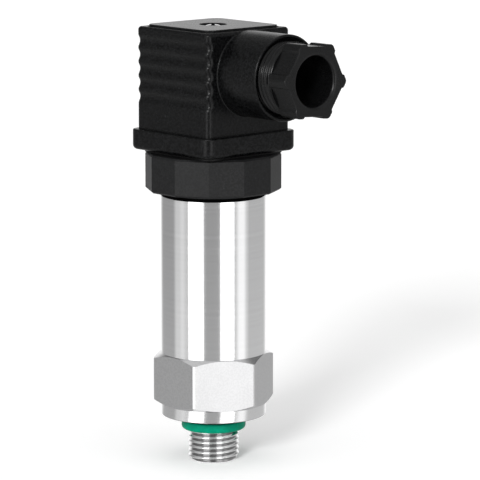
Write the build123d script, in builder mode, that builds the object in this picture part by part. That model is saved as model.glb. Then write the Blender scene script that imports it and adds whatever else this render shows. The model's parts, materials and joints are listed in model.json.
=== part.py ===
"""Pressure transmitter: steel body with a male process thread, square plug and cable gland.

Millimetres. The origin is the centre of the thread's free end, +Z runs up the body and
+X runs out along the cable gland.
"""
from build123d import *
from math import cos, hypot, pi, radians, sin, tan
import os

os.makedirs("parts", exist_ok=True)

# Steel tube, which gives the collar, the hexagon and the neck of the socket base their widths
body_d = 27.2
body_length = 41.1
body_wall = 1.3
tube_edge_round = 0.15
spigot_height = 5.0          # spigot of the process connection inside the tube
spigot_gap = 0.03

# Process thread, relief groove and collar
thread_d = 13.157            # outside diameter of a G1/4 thread
thread_length = 7.9
thread_chamfer = 0.9
relief_d = 11.4
relief_length = 4.14
collar_inset = 0.05          # the collar stands this far inside the outline of the tube
collar_height = 3.0
collar_round = 0.7

# Hexagon
hex_proud = 0.2              # each flat stands this far outside the outline of the tube
hex_height = 13.5
hex_chamfer_angle = 30.0
hex_edge_break = 0.3

# Pressure port and sensor seat
port_d = 5.0
chamber_floor = 5.2          # steel between the collar face and the chamber
chamber_height = 1.2         # room for the medium under the diaphragm
sensor_d = 19.0
sensor_height = 7.0
sensor_gap = 0.05            # radial room of the capsule in its bore
sensor_ledge = 1.0
sensor_cord_d = 1.5          # O-ring cord as squeezed in its groove
sensor_groove_height = 2.2
diaphragm_depth = 0.4
retainer_height = 4.5
retainer_bore_d = 12.0
key_slot_width = 2.0
key_slot_depth = 1.5

# Green ring seal
seal_d = 16.7
seal_height = 2.45
seal_drop = 1.5              # free height of the relief groove between the ring and the collar
seal_round = 0.85
seal_top_round = 0.5
seal_seat_depth = 0.3        # shallow seat for the ring in the face of the collar
seal_gap = 0.02              # room round a seal, insert or pin in its seat

# Sensor pins and leads
pin_d = 0.8
pin_gap = 0.02
pin_circle_d = 8.0
pin_count = 4
pin_depth = 2.0
pin_rise = 2.0
lead_d = 0.7
lead_bend = 3.0
lead_reach = 3.0             # last straight stretch of a lead before its blade

# Signal board and what stands on it
board_side_room = 1.5        # from the side edge of the board to the tube
board_height = 31.6
board_thickness = 1.6
board_gap = 0.05
board_hold = 5.0             # depth of the slots that hold the board's top edges
board_corner_round = 1.0
component_chamfer = 0.2
chip_width = 7.5
chip_height = 10.3
chip_depth = 2.3
chip_up = 10.0               # middle of the chip above the board's lower edge
trimmer_size = 6.4
trimmer_depth = 4.2
trimmer_side_room = 3.0      # from the side edge of the board to a trimmer
trimmer_up = 20.5
header_width = 10.2
header_pitch = 2.54
header_size = 2.5
sensor_header_up = 3.5
output_header_up = 27.5
capacitor_d = 5.0
capacitor_height = 6.0
capacitor_up = 14.0
capacitor_round = 0.4

# Socket base
neck_inset = 0.2             # the neck stands this far inside the outline of the tube
neck_height = 1.35
ring_across_flats = 33.9
ring_sides = 12
ring_height = 9.7
ring_chamfer = 0.45
plug_in_length = 8.0         # spigot of the socket base inside the tube
plug_in_gap = 0.05
base_wall = 2.25             # wall of that spigot
base_floor = 4.0
base_cord_d = 1.5
base_seal_drop = 1.6         # from the top of the tube to the middle of the O-ring
boss_wall = 1.2              # boss outside each blade
boss_height = 2.9
boss_round = 1.0

# Blades, insert and fixing screw
blade_circle_d = 18.0
blade_width = 6.3
blade_thickness = 0.8
blade_rise = 9.0             # blade above the boss
blade_tail = 3.5             # solder tail under the floor
tail_room = 0.4              # room round the tails under the floor
blade_tip_chamfer = 0.25
insert_d = 5.0
insert_length = 6.5
thread_gap = 0.05            # radial room of a plain thread in its hole
screw_d = 3.0
screw_clearance = 0.3        # radial room of the screw in the plug
screw_grip = 5.6
screw_tip_chamfer = 0.4
screw_head_d = 5.2
screw_head_height = 2.0
screw_head_dome = 0.6        # rise of the domed top of the head
screw_washer_d = 6.0
screw_washer_height = 0.6
slot_width = 0.9
slot_depth = 0.9
slot_turn = -42.0

# Plug housing
gasket_rim = 2.3
gasket_room = 0.3            # from the boss to the gasket
gasket_height = 0.6
gasket_relief = 0.05         # left free under the plug
plug_width = 28.0
plug_corner_round = 1.5
plug_height = 31.7
plug_top_round = 0.9
plug_roof = 2.4
skirt_width = 30.8
skirt_height = 5.3
skirt_corner_round = 2.6
skirt_bottom_round = 1.2
skirt_top_round = 0.35
lid_width = 24.6
lid_height = 0.55
lid_corner_round = 2.5
lid_edge_round = 0.2
groove_width = 0.5
groove_depth = 0.35
rib_count = 5                # grooves of each ribbed side
rib_pitch = 3.59
rib_depth = 0.56
rib_top_drop = 3.65          # from the top of the plug to the middle of the first groove
column_d = 7.2
head_pocket_d = 7.0
head_pocket_depth = 2.6
head_pocket_round = 0.2

# Terminal block, contacts and their screws
block_wall = 0.6             # block outside each contact
block_height = 13.6
block_gap = 0.1
block_lift = 0.4             # room between the boss and the block
contact_width = 7.2
contact_depth = 4.2
contact_floor = 1.2
contact_room = 0.1
blade_room = 0.1             # room on each side of a blade in its contact
fork_room = 0.6              # fork above the tip of the blade
clamp_wire_d = 2.2
clamp_rise = 2.0             # wire way above the fork
clamp_screw_d = 2.9
clamp_head_d = 4.6
clamp_head_height = 1.7
clamp_slot = 0.8

# Cable stub
stub_d = 21.9
stub_axis_height = 20.8      # gland axis above the underside of the plug
stub_length = 14.0           # from the side of the plug to the end of the stub
stub_root = 0.8              # overlap of the stub and the side of the plug
stub_root_round = 0.3        # hollow round where the stub meets the side of the plug
stub_edge_round = 0.35
stub_bore_d = 18.8
stub_bore_root = 0.4         # bore reaches this far into the side of the plug
stub_mouth_chamfer = 1.0
stub_throat_d = 14.6

# Gland nut, washer and grommet
gland_thread_d = 18.6
gland_thread_length = 10.9
gland_thread_chamfer = 0.6
gland_start = 7.2            # from the side of the plug to the inner end of the nut
nut_head_length = 6.3
nut_lobe_across = 18.5       # across the flats of the lobes
nut_lobe_round = 1.2
nut_web_across = 17.5        # across the recessed flats between the lobes
nut_web_width = 6.0
nut_web_flare = 0.8
nut_turn = -3.5              # degrees by which the lobes stand off the level
nut_back_chamfer = 0.6
nut_front_round = 0.25
nut_bore_d = 12.6
nut_mouth_round = 1.0
grommet_bore_d = 8.0
grommet_gap = 0.15
grommet_chamfer = 0.5
washer_thickness = 1.0
washer_bore_d = 11.0
washer_room = 0.2
washer_gap = 0.05

# Heights along the body, worked out from the sizes above
z_collar = thread_length + relief_length
z_seal = z_collar - seal_drop - seal_height
z_seal_seat = z_collar + seal_seat_depth
z_hex = z_collar + collar_height
z_tube = z_hex + hex_height
z_base = z_tube + body_length
z_ring = z_base + neck_height
z_gasket = z_ring + ring_height
z_plug = z_gasket + gasket_height
z_plug_top = z_plug + plug_height
z_lid_top = z_plug_top + lid_height
z_roof = z_plug_top - plug_roof
z_chamber = z_collar + chamber_floor
z_sensor = z_chamber + chamber_height
z_sensor_top = z_sensor + sensor_height
z_sensor_seal = z_sensor + sensor_height / 2
z_retainer_top = z_sensor_top + retainer_height
z_spigot_top = max(z_tube + spigot_height, z_retainer_top)
z_base_seal = z_base - base_seal_drop
z_board_top = z_base - plug_in_length + board_hold
z_board = z_board_top - board_height
z_floor = z_gasket - base_floor
z_boss_top = z_gasket + boss_height
z_blade_top = z_boss_top + blade_rise
z_block = z_boss_top + block_lift
z_block_top = z_block + block_height
z_contact = z_block + contact_floor
z_fork = z_blade_top + fork_room
z_clamp = z_fork + clamp_rise
z_pocket = z_lid_top - head_pocket_depth
z_screw_head = z_pocket + screw_washer_height
z_screw_end = z_boss_top - screw_grip

# Radii, widths and distances from the axis
collar_d = body_d - 2 * collar_inset
hex_across_flats = body_d + 2 * hex_proud
neck_d = body_d - 2 * neck_inset
tube_inner_r = body_d / 2 - body_wall
spigot_r = tube_inner_r - spigot_gap
sensor_bore_r = sensor_d / 2 + sensor_gap
sensor_groove_r = sensor_bore_r - sensor_cord_d - 2 * seal_gap
board_width = 2 * (tube_inner_r - board_side_room)
trimmer_across = board_width / 2 - trimmer_side_room - trimmer_size / 2
base_bore_r = tube_inner_r - plug_in_gap - base_wall
tail_reach = hypot((blade_circle_d + blade_thickness) / 2, blade_width / 4)
tail_chamber_r = max(base_bore_r, tail_reach + tail_room)
x_side = plug_width / 2
x_throat = x_side - stub_bore_root
x_stub_end = x_side + stub_length
x_nut_start = x_side + gland_start
x_nut_head = x_nut_start + gland_thread_length
x_nut_end = x_nut_head + nut_head_length
x_washer = x_nut_start - washer_thickness
boss_width = blade_circle_d + blade_thickness + 2 * boss_wall
gasket_window = boss_width + 2 * gasket_room
gasket_width = gasket_window + 2 * gasket_rim
block_width = blade_circle_d + contact_depth + 2 * block_wall
cavity_width = block_width + 2 * block_gap
gland_plane = Plane(
    origin=(0, 0, z_plug + stub_axis_height),
    x_dir=(0, 1, 0),
    z_dir=(1, 0, 0),
)
gland_axis = Axis(gland_plane.origin, (1, 0, 0))
tiny = 0.001                 # tolerance for finding an edge by its place
blade_angles = {"earth": 0, "line_1": 90, "line_2": 180, "line_3": 270}


def write(piece, label):
    """Labels one finished piece and writes its STEP file."""
    piece.part.label = label
    export_step(piece.part, f"parts/{label}.step")


def ring_edge(piece, axis, place, radius):
    """The round edge of a piece at a place along an axis and at a radius."""
    rings = piece.edges().filter_by(GeomType.CIRCLE)
    rings = rings.filter_by_position(axis, place - tiny, place + tiny)
    return rings.sort_by(lambda edge: abs(edge.radius - radius))[0]


def around(angle, radius, height):
    """A plane at a height, out from the axis at an angle, with its x axis pointing outwards."""
    out = Vector(cos(radians(angle)), sin(radians(angle)), 0)
    return Plane(origin=out * radius + Vector(0, 0, height), x_dir=out, z_dir=(0, 0, 1))


# Hexagon of the process connection, chamfered all round on the lathe
hex_corner_r = hex_across_flats / 2 / cos(pi / 6)
hex_chamfer_drop = (hex_corner_r - collar_d / 2) * tan(radians(hex_chamfer_angle))
with BuildPart() as hexagon:
    with BuildSketch(Plane.XY.offset(z_hex)):
        RegularPolygon(radius=hex_corner_r, side_count=6)
    extrude(amount=hex_height)
    chamfer(hexagon.edges().filter_by(Axis.Z), hex_edge_break)
    with BuildSketch(Plane.XZ):
        with BuildLine():
            Polyline(
                (0, z_hex),
                (collar_d / 2, z_hex),
                (hex_corner_r, z_hex + hex_chamfer_drop),
                (hex_corner_r, z_tube - hex_chamfer_drop),
                (collar_d / 2, z_tube),
                (0, z_tube),
                close=True,
            )
        make_face()
    revolve(axis=Axis.Z, mode=Mode.INTERSECT)

# Process connection: thread, relief, collar, hexagon and spigot turned from one bar
with BuildPart() as process_connection:
    with BuildSketch(Plane.XZ):
        with BuildLine():
            Polyline(
                (0, 0),
                (thread_d / 2 - thread_chamfer, 0),
                (thread_d / 2, thread_chamfer),
                (thread_d / 2, thread_length - (thread_d - relief_d) / 2),
                (relief_d / 2, thread_length),
                (relief_d / 2, z_seal_seat),
                (seal_d / 2 + seal_gap, z_seal_seat),
                (seal_d / 2 + seal_gap, z_collar),
                (collar_d / 2, z_collar),
                (collar_d / 2, z_hex),
                (0, z_hex),
                close=True,
            )
        make_face()
    revolve(axis=Axis.Z)
    fillet(ring_edge(process_connection, Axis.Z, z_collar, collar_d / 2), collar_round)
    add(hexagon.part)
    with BuildSketch(Plane.XY.offset(z_tube)):
        Circle(spigot_r)
    extrude(amount=z_spigot_top - z_tube)
    with BuildSketch(Plane.XZ):
        with BuildLine():
            Polyline(
                (0, 0),
                (port_d / 2, 0),
                (port_d / 2, z_chamber),
                (sensor_d / 2 - sensor_ledge, z_chamber),
                (sensor_d / 2 - sensor_ledge, z_sensor),
                (sensor_bore_r, z_sensor),
                (sensor_bore_r, z_spigot_top),
                (0, z_spigot_top),
                close=True,
            )
        make_face()
    revolve(axis=Axis.Z, mode=Mode.SUBTRACT)
write(process_connection, "process_connection")

# Port seal: round-edged ring that waits in the relief groove until the port presses it home
with BuildPart() as port_seal:
    with BuildSketch(Plane.XY.offset(z_seal)):
        Circle(seal_d / 2)
        Circle(relief_d / 2 + seal_gap, mode=Mode.SUBTRACT)
    extrude(amount=seal_height)
    fillet(ring_edge(port_seal, Axis.Z, z_seal, seal_d / 2), seal_round)
    fillet(ring_edge(port_seal, Axis.Z, z_seal + seal_height, seal_d / 2), seal_top_round)
write(port_seal, "port_seal")

# Body tube: plain steel tube over the spigots of the hexagon and the socket base
with BuildPart() as body_tube:
    with BuildSketch(Plane.XY.offset(z_tube)):
        Circle(body_d / 2)
        Circle(tube_inner_r, mode=Mode.SUBTRACT)
    extrude(amount=body_length)
    fillet(ring_edge(body_tube, Axis.Z, z_base, body_d / 2), tube_edge_round)
write(body_tube, "body_tube")

# Sensor capsule: grooved steel housing with a shallow diaphragm recess below
with BuildPart() as sensor_capsule:
    with BuildSketch(Plane.XY.offset(z_sensor)):
        Circle(sensor_d / 2)
    extrude(amount=sensor_height)
    with BuildSketch(Plane.XY.offset(z_sensor)):
        Circle(sensor_d / 2 - sensor_ledge)
    extrude(amount=diaphragm_depth, mode=Mode.SUBTRACT)
    with BuildSketch(Plane.XY.offset(z_sensor_seal - sensor_groove_height / 2)):
        Circle(sensor_d / 2)
        Circle(sensor_groove_r, mode=Mode.SUBTRACT)
    extrude(amount=sensor_groove_height, mode=Mode.SUBTRACT)
    with Locations(Plane.XY.offset(z_sensor_top)):
        with PolarLocations(pin_circle_d / 2, pin_count, start_angle=45):
            Hole(pin_d / 2 + pin_gap, depth=pin_depth)
write(sensor_capsule, "sensor_capsule")

# Sensor O-ring, squeezed between its groove and the bore
with BuildPart() as sensor_seal:
    with BuildSketch(Plane.XZ):
        with Locations((sensor_bore_r - sensor_cord_d / 2 - seal_gap, z_sensor_seal)):
            Circle(sensor_cord_d / 2)
    revolve(axis=Axis.Z)
write(sensor_seal, "sensor_seal")

# Retaining ring with two key slots
with BuildPart() as retaining_ring:
    with BuildSketch(Plane.XY.offset(z_sensor_top)):
        Circle(sensor_d / 2)
        Circle(retainer_bore_d / 2, mode=Mode.SUBTRACT)
    extrude(amount=retainer_height)
    with BuildSketch(Plane.XY.offset(z_retainer_top - key_slot_depth)):
        Rectangle(sensor_d + 2, key_slot_width)
    extrude(amount=key_slot_depth, mode=Mode.SUBTRACT)
write(retaining_ring, "retaining_ring")

# Pins of the sensor, glassed into the top of the capsule
with BuildPart() as sensor_pins:
    with BuildSketch(Plane.XY.offset(z_sensor_top - pin_depth)):
        with PolarLocations(pin_circle_d / 2, pin_count, start_angle=45):
            Circle(pin_d / 2)
    extrude(amount=pin_depth + pin_rise)
write(sensor_pins, "sensor_pins")

# Signal board, its top edges held in two slots of the socket base
with BuildPart() as signal_board:
    with BuildSketch(Plane.XZ.offset(-board_thickness / 2)):
        with Locations((0, (z_board + z_board_top) / 2)):
            RectangleRounded(board_width, z_board_top - z_board, board_corner_round)
    extrude(amount=board_thickness)
write(signal_board, "signal_board")


def board_block(label, side, across, up, width, height, depth):
    """A square component that stands on one side of the board, 1 for +Y and -1 for -Y."""
    with BuildPart() as component:
        with Locations((across, side * (board_thickness + depth) / 2, z_board + up)):
            Box(width, depth, height)
        chamfer(component.faces().sort_by(Axis.Y)[-1 if side > 0 else 0].edges(), component_chamfer)
    write(component, label)


board_block("signal_chip", 1, 0, chip_up, chip_width, chip_height, chip_depth)
board_block("zero_trimmer", 1, -trimmer_across, trimmer_up, trimmer_size, trimmer_size, trimmer_depth)
board_block("span_trimmer", 1, trimmer_across, trimmer_up, trimmer_size, trimmer_size, trimmer_depth)
board_block("sensor_header", -1, 0, sensor_header_up, header_width, header_size, header_size)
board_block("output_header", -1, 0, output_header_up, header_width, header_size, header_size)

# Filter capacitor, a can standing on the -Y side of the board
with BuildPart() as filter_capacitor:
    with BuildSketch(Plane.XZ.offset(board_thickness / 2)):
        with Locations((0, z_board + capacitor_up)):
            Circle(capacitor_d / 2)
    extrude(amount=capacitor_height)
    fillet(filter_capacitor.faces().sort_by(Axis.Y)[0].edges(), capacitor_round)
write(filter_capacitor, "filter_capacitor")


def lead(points, radius):
    """A round wire along a few points, with its corners bent to a radius."""
    with BuildPart() as wire:
        with BuildLine() as path:
            FilletPolyline(*points, radius=radius)
        with BuildSketch(Plane(origin=path.line @ 0, z_dir=path.line % 0)):
            Circle(lead_d / 2)
        sweep()
    return wire.part


# Leads from the sensor's pins up to the lower header
header_y = -(board_thickness + header_size) / 2
z_header = z_board + sensor_header_up - header_size / 2
z_pin_top = z_sensor_top + pin_rise
pin_offset = pin_circle_d / 2 * cos(pi / 4)
with BuildPart() as sensor_leads:
    for side in (-1, 1):
        for row, column in ((-1, 0.5), (1, 1.5)):
            start = (side * pin_offset, row * pin_offset)
            end = (side * column * header_pitch, header_y)
            add(lead([
                (*start, z_pin_top),
                (*start, z_pin_top + lead_bend),
                (*end, z_header - lead_bend),
                (*end, z_header),
            ], lead_bend / 2))
write(sensor_leads, "sensor_leads")

# Leads from the upper header to the inner faces of the blades' tails
z_output = z_board + output_header_up + header_size / 2
z_tail_joint = z_floor - blade_tail / 2
with BuildPart() as output_leads:
    for column, angle in zip((-0.5, -1.5, 0.5, 1.5), (270, 180, 90, 0)):
        out = around(angle, blade_circle_d / 2 - blade_thickness / 2, z_tail_joint)
        near = around(angle, blade_circle_d / 2 - lead_reach, z_tail_joint)
        foot = (column * header_pitch, header_y)
        add(lead([
            (*foot, z_output),
            (*foot, z_output + lead_bend),
            tuple(near.origin),
            tuple(out.origin),
        ], lead_bend / 2))
write(output_leads, "output_leads")

# Socket base: twelve-sided moulding with a neck, a grooved spigot and a square boss
with BuildPart() as socket_base:
    with BuildSketch(Plane.XY.offset(z_ring)):
        RegularPolygon(
            radius=ring_across_flats / 2,
            side_count=ring_sides,
            major_radius=False,
            rotation=180 / ring_sides,
        )
    extrude(amount=ring_height)
    chamfer(socket_base.faces().sort_by(Axis.Z)[0].edges(), ring_chamfer)
    chamfer(socket_base.faces().sort_by(Axis.Z)[-1].edges(), ring_chamfer)
    with BuildSketch(Plane.XY.offset(z_base)):
        Circle(neck_d / 2)
    extrude(amount=neck_height)
    with BuildSketch(Plane.XY.offset(z_base - plug_in_length)):
        Circle(tube_inner_r - plug_in_gap)
    extrude(amount=plug_in_length)
    with BuildSketch(Plane.XY.offset(z_gasket)):
        RectangleRounded(boss_width, boss_width, boss_round)
    extrude(amount=boss_height)
    with BuildSketch(Plane.XY.offset(z_base - plug_in_length)):
        Circle(base_bore_r)
    extrude(amount=plug_in_length, mode=Mode.SUBTRACT)
    with BuildSketch(Plane.XY.offset(z_base)):
        Circle(tail_chamber_r)
    extrude(amount=z_floor - z_base, mode=Mode.SUBTRACT)
    with BuildSketch(Plane.XY.offset(z_base_seal - base_cord_d / 2)):
        Circle(tube_inner_r)
        Circle(tube_inner_r - plug_in_gap - base_cord_d, mode=Mode.SUBTRACT)
    extrude(amount=base_cord_d, mode=Mode.SUBTRACT)
    with BuildSketch(Plane.XY.offset(z_base - plug_in_length)):
        Rectangle(board_width + 2 * board_gap, board_thickness + 2 * board_gap)
    extrude(amount=board_hold, mode=Mode.SUBTRACT)
    with Locations(Plane.XY.offset(z_boss_top)):
        Hole(insert_d / 2 + seal_gap, depth=insert_length)
    with BuildSketch(Plane.XY.offset(z_floor)):
        with PolarLocations(blade_circle_d / 2, len(blade_angles)):
            Rectangle(blade_thickness + 2 * seal_gap, blade_width + 2 * seal_gap)
    extrude(amount=z_boss_top - z_floor, mode=Mode.SUBTRACT)
write(socket_base, "socket_base")

# O-ring between the socket base and the tube
with BuildPart() as base_seal:
    with BuildSketch(Plane.XZ):
        with Locations((tube_inner_r - plug_in_gap - base_cord_d / 2, z_base_seal)):
            Circle(base_cord_d / 2)
    revolve(axis=Axis.Z)
write(base_seal, "base_seal")

# Threaded insert for the fixing screw
with BuildPart() as threaded_insert:
    with BuildSketch(Plane.XY.offset(z_boss_top - insert_length)):
        Circle(insert_d / 2)
        Circle(screw_d / 2 + thread_gap, mode=Mode.SUBTRACT)
    extrude(amount=insert_length)
write(threaded_insert, "threaded_insert")


def blade(label, angle):
    """A flat blade with a chamfered tip and a narrower solder tail."""
    with BuildPart() as piece:
        with BuildSketch(around(angle, blade_circle_d / 2, z_floor)):
            Rectangle(blade_thickness, blade_width)
        extrude(amount=z_blade_top - z_floor)
        tip = piece.faces().sort_by(Axis.Z)[-1]
        chamfer(tip.edges().filter_by(lambda edge: edge.length > blade_thickness), blade_tip_chamfer)
        with BuildSketch(around(angle, blade_circle_d / 2, z_floor)):
            Rectangle(blade_thickness, blade_width / 2)
        extrude(amount=-blade_tail)
    write(piece, label)


def contact(label, angle):
    """A plug contact: a fork for the blade below and a wire clamp above."""
    with BuildPart() as piece:
        with BuildSketch(around(angle, blade_circle_d / 2, z_contact)):
            Rectangle(contact_depth, contact_width)
        extrude(amount=z_block_top - z_contact)
        with BuildSketch(around(angle, blade_circle_d / 2, z_contact)):
            Rectangle(blade_thickness + 2 * blade_room, contact_width)
        extrude(amount=z_fork - z_contact, mode=Mode.SUBTRACT)
        wire_way = around(angle, 0, z_clamp)
        with BuildSketch(Plane(origin=wire_way.origin, x_dir=wire_way.y_dir, z_dir=wire_way.x_dir)):
            Circle(clamp_wire_d / 2)
        extrude(amount=blade_circle_d, mode=Mode.SUBTRACT)
        with BuildSketch(around(angle, blade_circle_d / 2, z_clamp)):
            Circle(clamp_screw_d / 2 + thread_gap)
        extrude(amount=z_block_top - z_clamp, mode=Mode.SUBTRACT)
    write(piece, label)


for name, angle in blade_angles.items():
    blade(f"{name}_blade", angle)
    contact(f"{name}_contact", angle)

# Profile gasket between the socket base and the plug
with BuildPart() as profile_gasket:
    with BuildSketch(Plane.XY.offset(z_gasket)):
        RectangleRounded(gasket_width, gasket_width, skirt_corner_round)
        RectangleRounded(gasket_window, gasket_window, boss_round, mode=Mode.SUBTRACT)
    extrude(amount=gasket_height - gasket_relief)
write(profile_gasket, "profile_gasket")

# Terminal block with a pocket for each contact
with BuildPart() as terminal_block:
    with BuildSketch(Plane.XY.offset(z_block)):
        RectangleRounded(block_width, block_width, boss_round)
    extrude(amount=block_height)
    with BuildSketch(Plane.XY.offset(z_contact)):
        with PolarLocations(blade_circle_d / 2, len(blade_angles)):
            Rectangle(contact_depth + 2 * contact_room, contact_width + 2 * contact_room)
    extrude(amount=z_block_top - z_contact, mode=Mode.SUBTRACT)
    with BuildSketch(Plane.XY.offset(z_block)):
        with PolarLocations(blade_circle_d / 2, len(blade_angles)):
            Rectangle(blade_thickness + 4 * blade_room, blade_width + 4 * blade_room)
    extrude(amount=contact_floor, mode=Mode.SUBTRACT)
    with Locations(Plane.XY.offset(z_block_top)):
        Hole(screw_d / 2 + screw_clearance, depth=block_height)
write(terminal_block, "terminal_block")

# Terminal screws, one above each contact
with BuildPart() as terminal_screws:
    with BuildSketch(Plane.XY.offset(z_block_top)):
        with PolarLocations(blade_circle_d / 2, len(blade_angles)):
            Circle(clamp_head_d / 2)
    extrude(amount=clamp_head_height)
    with BuildSketch(Plane.XY.offset(z_block_top + clamp_head_height - clamp_slot)):
        with PolarLocations(blade_circle_d / 2, len(blade_angles)):
            Rectangle(clamp_head_d, clamp_slot)
    extrude(amount=clamp_slot, mode=Mode.SUBTRACT)
    with BuildSketch(Plane.XY.offset(z_clamp + clamp_wire_d / 2)):
        with PolarLocations(blade_circle_d / 2, len(blade_angles)):
            Circle(clamp_screw_d / 2)
    extrude(amount=z_block_top - z_clamp - clamp_wire_d / 2)
write(terminal_screws, "terminal_screws")

# Square cap of the plug: a wave of tangent arcs on two sides, which the corner rounds follow
with BuildPart() as ribbed_cap:
    with BuildSketch(Plane.XY.offset(z_plug)):
        Rectangle(plug_width, plug_width)
    extrude(amount=plug_height)
    with BuildSketch(Plane.YZ):
        with BuildLine():
            for index in range(rib_count):
                z_groove = z_plug_top - rib_top_drop - index * rib_pitch
                upper = (x_side - rib_depth / 2, z_groove + rib_pitch / 4)
                lower = (x_side - rib_depth / 2, z_groove - rib_pitch / 4)
                TangentArc((x_side, z_groove + rib_pitch / 2), upper, tangent=(0, -1))
                ThreePointArc(upper, (x_side - rib_depth, z_groove), lower)
                TangentArc((x_side, z_groove - rib_pitch / 2), lower, tangent=(0, 1))
            z_wave_start = z_plug_top - rib_top_drop + rib_pitch / 2
            z_wave_end = z_wave_start - rib_count * rib_pitch
            Polyline(
                (x_side, z_wave_start),
                (x_side + rib_depth, z_wave_start),
                (x_side + rib_depth, z_wave_end),
                (x_side, z_wave_end),
            )
        make_face()
        mirror(about=Plane.YZ)
    extrude(amount=plug_width, both=True, mode=Mode.SUBTRACT)
    corners = ribbed_cap.edges().filter_by(Axis.X, reverse=True).filter_by(Axis.Y, reverse=True)
    fillet(corners, plug_corner_round)
    fillet(ribbed_cap.faces().sort_by(Axis.Z)[-1].edges(), plug_top_round)

# Hollow round at the root of the cable stub, up to where the top of the cap curves in
with BuildPart() as stub_root_ring:
    with BuildSketch(Plane.XZ):
        with BuildLine():
            root_low = (x_side - stub_root, z_plug + stub_axis_height + stub_d / 2 - stub_root_round)
            root_side = (x_side, z_plug + stub_axis_height + stub_d / 2 + stub_root_round)
            root_stub = (x_side + stub_root_round, z_plug + stub_axis_height + stub_d / 2)
            Polyline(root_side, (root_low[0], root_side[1]), root_low, (root_stub[0], root_low[1]), root_stub)
            RadiusArc(root_side, root_stub, -stub_root_round)
        make_face()
    revolve(axis=gland_axis)
    split(bisect_by=Plane.XY.offset(z_plug_top - plug_top_round), keep=Keep.BOTTOM)

# Plug housing: ribbed cap with a skirt, a raised lid field and the cable stub
with BuildPart() as plug_housing:
    with BuildSketch(Plane.XY.offset(z_plug)):
        RectangleRounded(skirt_width, skirt_width, skirt_corner_round)
    extrude(amount=skirt_height)
    fillet(plug_housing.faces().sort_by(Axis.Z)[0].edges(), skirt_bottom_round)
    fillet(plug_housing.faces().sort_by(Axis.Z)[-1].edges(), skirt_top_round)
    add(ribbed_cap.part)

    # Cable stub
    with BuildSketch(gland_plane.offset(x_side - stub_root)):
        Circle(stub_d / 2)
    extrude(amount=stub_root + stub_length)
    fillet(plug_housing.faces().sort_by(Axis.X)[-1].edges(), stub_edge_round)
    add(stub_root_ring.part)

    # Raised lid field with a fine groove round it
    with BuildSketch(Plane.XY.offset(z_plug_top - groove_depth)):
        RectangleRounded(
            lid_width + 2 * groove_width,
            lid_width + 2 * groove_width,
            lid_corner_round + groove_width,
        )
        RectangleRounded(lid_width, lid_width, lid_corner_round, mode=Mode.SUBTRACT)
    extrude(amount=groove_depth, mode=Mode.SUBTRACT)
    with BuildSketch(Plane.XY.offset(z_plug_top)):
        RectangleRounded(lid_width, lid_width, lid_corner_round)
    extrude(amount=lid_height)
    fillet(plug_housing.faces().sort_by(Axis.Z)[-1].edges(), lid_edge_round)

    # Inside: cavity with the screw column left standing, throat and gland bore
    with BuildSketch(Plane.XY.offset(z_plug)):
        RectangleRounded(cavity_width, cavity_width, boss_round + block_gap)
    extrude(amount=z_block_top - z_plug, mode=Mode.SUBTRACT)
    with BuildSketch(Plane.XY.offset(z_block_top)):
        RectangleRounded(cavity_width, cavity_width, boss_round + block_gap)
        Circle(column_d / 2, mode=Mode.SUBTRACT)
    extrude(amount=z_roof - z_block_top, mode=Mode.SUBTRACT)
    with BuildSketch(gland_plane.offset(cavity_width / 2)):
        Circle(stub_throat_d / 2)
    extrude(amount=x_stub_end - cavity_width / 2, mode=Mode.SUBTRACT)
    with BuildSketch(gland_plane.offset(x_throat)):
        Circle(stub_bore_d / 2)
    extrude(amount=x_stub_end - x_throat, mode=Mode.SUBTRACT)
    chamfer(ring_edge(plug_housing, Axis.X, x_stub_end, stub_bore_d / 2), stub_mouth_chamfer)

    # Pocket and hole for the fixing screw
    with BuildSketch(Plane.XY.offset(z_pocket)):
        Circle(head_pocket_d / 2)
    extrude(amount=head_pocket_depth, mode=Mode.SUBTRACT)
    fillet(ring_edge(plug_housing, Axis.Z, z_lid_top, head_pocket_d / 2), head_pocket_round)
    with BuildSketch(Plane.XY.offset(z_block_top)):
        Circle(screw_d / 2 + screw_clearance)
    extrude(amount=z_pocket - z_block_top, mode=Mode.SUBTRACT)
write(plug_housing, "plug_housing")

# Fixing screw: domed and slotted head on a long shank
dome_r = ((screw_head_d / 2) ** 2 + screw_head_dome ** 2) / (2 * screw_head_dome)
with BuildPart() as fixing_screw:
    with BuildSketch(Plane.XY.offset(z_screw_head)):
        Circle(screw_head_d / 2)
    extrude(amount=screw_head_height)
    with Locations((0, 0, z_screw_head + screw_head_height - dome_r)):
        Sphere(dome_r, mode=Mode.INTERSECT)
    with BuildSketch(Plane.XY.offset(z_screw_head + screw_head_height - slot_depth)):
        Rectangle(screw_head_d, slot_width, rotation=slot_turn)
    extrude(amount=slot_depth, mode=Mode.SUBTRACT)
    with BuildSketch(Plane.XY.offset(z_screw_head)):
        Circle(screw_d / 2)
    extrude(amount=z_screw_end - z_screw_head)
    chamfer(fixing_screw.faces().sort_by(Axis.Z)[0].edges(), screw_tip_chamfer)
write(fixing_screw, "fixing_screw")

# Screw washer, a soft ring under the head of the fixing screw
with BuildPart() as screw_washer:
    with BuildSketch(Plane.XY.offset(z_pocket)):
        Circle(screw_washer_d / 2)
        Circle(screw_d / 2 + thread_gap, mode=Mode.SUBTRACT)
    extrude(amount=screw_washer_height)
write(screw_washer, "screw_washer")

# Gland grommet, the soft ring that grips the cable
with BuildPart() as gland_grommet:
    with BuildSketch(gland_plane.offset(x_throat)):
        Circle(stub_bore_d / 2 - grommet_gap)
        Circle(grommet_bore_d / 2, mode=Mode.SUBTRACT)
    extrude(amount=x_washer - x_throat)
    chamfer(gland_grommet.edges().filter_by(GeomType.CIRCLE).group_by(Axis.X)[-1], grommet_chamfer)
write(gland_grommet, "gland_grommet")

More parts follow.
